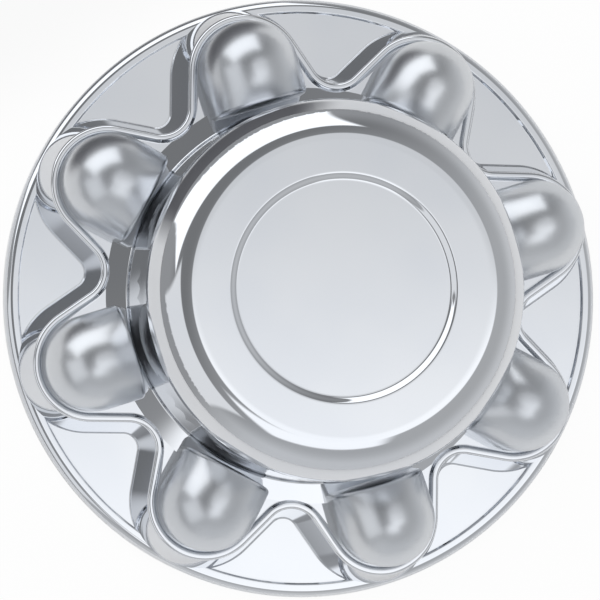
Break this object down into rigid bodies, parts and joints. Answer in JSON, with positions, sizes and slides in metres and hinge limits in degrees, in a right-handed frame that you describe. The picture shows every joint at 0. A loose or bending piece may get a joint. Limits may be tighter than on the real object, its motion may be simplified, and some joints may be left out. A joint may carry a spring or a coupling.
{
  "type": "wheel center cap",
  "caption": "Round chrome wheel center cap: a domed hub drum with a recessed face disc, ringed by lug-nut pods inside a lobed ridge, on a flat panelled rim.",
  "frame": {"origin": "middle of the flat ring on which the rim seats", "axes": "+Z along the wheel axis from the seat to the face; +X through one lug pod"},
  "size_m": [0.216, 0.216, 0.085],
  "materials": {
    "chrome": "bright chrome plating on moulded plastic"
  },
  "bodies": {
    "root": {"center_cap": "chrome"}
  },
  "joints": []
}
